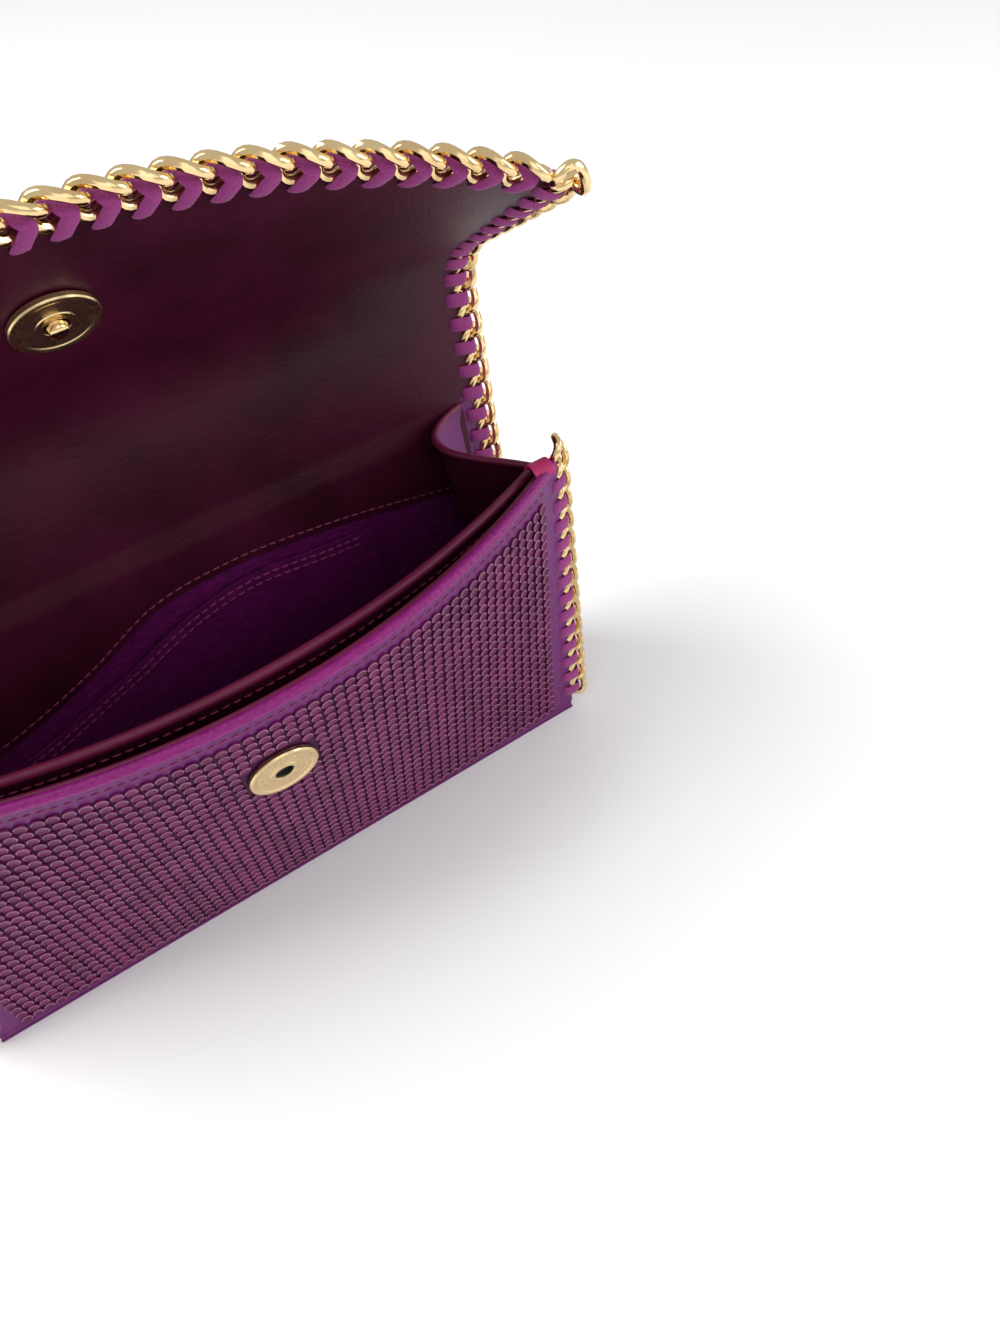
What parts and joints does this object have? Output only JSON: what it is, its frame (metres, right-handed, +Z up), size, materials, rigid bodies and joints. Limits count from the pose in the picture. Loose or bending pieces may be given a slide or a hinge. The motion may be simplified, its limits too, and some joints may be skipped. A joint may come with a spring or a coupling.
{
  "type": "chain wallet",
  "caption": "Flap wallet with crystal-covered satin panels, leather lining, a divided mouth, gold chain laced along its edges and a magnetic snap.",
  "frame": {"origin": "on the floor, under the middle of the base", "axes": "+X along the wallet's width, +Y from its front panel to its back panel, +Z up"},
  "size_m": [0.1924, 0.0723, 0.1819],
  "materials": {
    "satin": "violet satin cloth, fine weave, soft sheen",
    "satin_binding": "magenta satin rolled edge",
    "satin_inside": "deep purple satin lining",
    "leather": "burgundy smooth artificial leather, fine grain, semi-gloss",
    "board": "grey fibre board stiffener",
    "crystals": "layer of small plum crystals with pale pink rims",
    "gold_chain": "polished light gold plate",
    "gold_snap": "polished light gold plate",
    "magnet": "dark sintered magnet",
    "steel_washer": "plain steel",
    "suede_lace": "violet pink artificial suede lace",
    "thread_plum": "plum sewing thread",
    "thread_pink": "bright pink bar-tack thread"
  },
  "bodies": {
    "back_and_base": {"back_board": "board", "back_crystals": "crystals", "back_lining": "satin_inside", "back_outer": "satin", "back_side_chains": "gold_chain", "back_side_laces": "suede_lace", "base_board": "board", "base_lining": "satin_inside", "base_outer": "satin", "gusset_left_lining": "leather", "gusset_left_outer": "satin", "gusset_right_lining": "leather", "gusset_right_outer": "satin", "lining_tail": "leather", "lining_tail_stitching": "thread_plum", "slip_pocket": "satin_inside", "slip_pocket_stitching": "thread_plum"},
    "front_panel": {"corner_bar_tacks": "thread_pink", "front_board": "board", "front_crystals": "crystals", "front_lining": "leather", "front_outer": "satin", "front_side_chains": "gold_chain", "front_side_laces": "suede_lace", "front_top_binding": "satin_binding", "snap_socket_cap": "gold_snap", "snap_socket_magnet": "magnet", "snap_socket_washer": "steel_washer"},
    "divider": {"divider_back_leather": "leather", "divider_board": "board", "divider_front_leather": "leather", "divider_rolled_top": "leather"},
    "flap": {"flap_board": "board", "flap_crystals": "crystals", "flap_edge_chain": "gold_chain", "flap_edge_laces": "suede_lace", "flap_lining": "leather", "flap_outer": "satin", "flap_side_chains": "gold_chain", "flap_side_laces": "suede_lace", "snap_stud": "gold_snap", "snap_stud_cap": "gold_snap", "snap_stud_magnet": "magnet"},
    "top_strip": {"strip_board": "board", "strip_crystals": "crystals", "strip_lining": "leather", "strip_outer": "satin", "strip_side_chains": "gold_chain", "strip_side_laces": "suede_lace"}
  },
  "joints": [
    {"name": "flap_lift", "type": "hinge", "parent": "back_and_base", "child": "top_strip", "pos_m": [0, 0.02931, 0.09351], "axis": [1, 0, 0], "range_deg": [-30, 88]},
    {"name": "flap_fold", "type": "hinge", "parent": "top_strip", "child": "flap", "pos_m": [0, 0.03425, 0.12866], "axis": [1, 0, 0], "range_deg": [-45, 36]},
    {"name": "front_mouth", "type": "hinge", "parent": "back_and_base", "child": "front_panel", "pos_m": [0, -0.0166, 0.0028], "axis": [1, 0, 0], "range_deg": [-19.2, 6.8], "deforming": ["gusset_left_lining", "gusset_left_outer", "gusset_right_lining", "gusset_right_outer"]},
    {"name": "divider_lean", "type": "hinge", "parent": "back_and_base", "child": "divider", "pos_m": [0, -0.0064, 0.0038], "axis": [1, 0, 0], "range_deg": [-18.6, 6.6]}
  ],
  "couplings": [
    {"joint": "front_mouth", "follows": "flap_lift", "ratio": -0.215},
    {"joint": "divider_lean", "follows": "flap_lift", "ratio": -0.208}
  ]
}
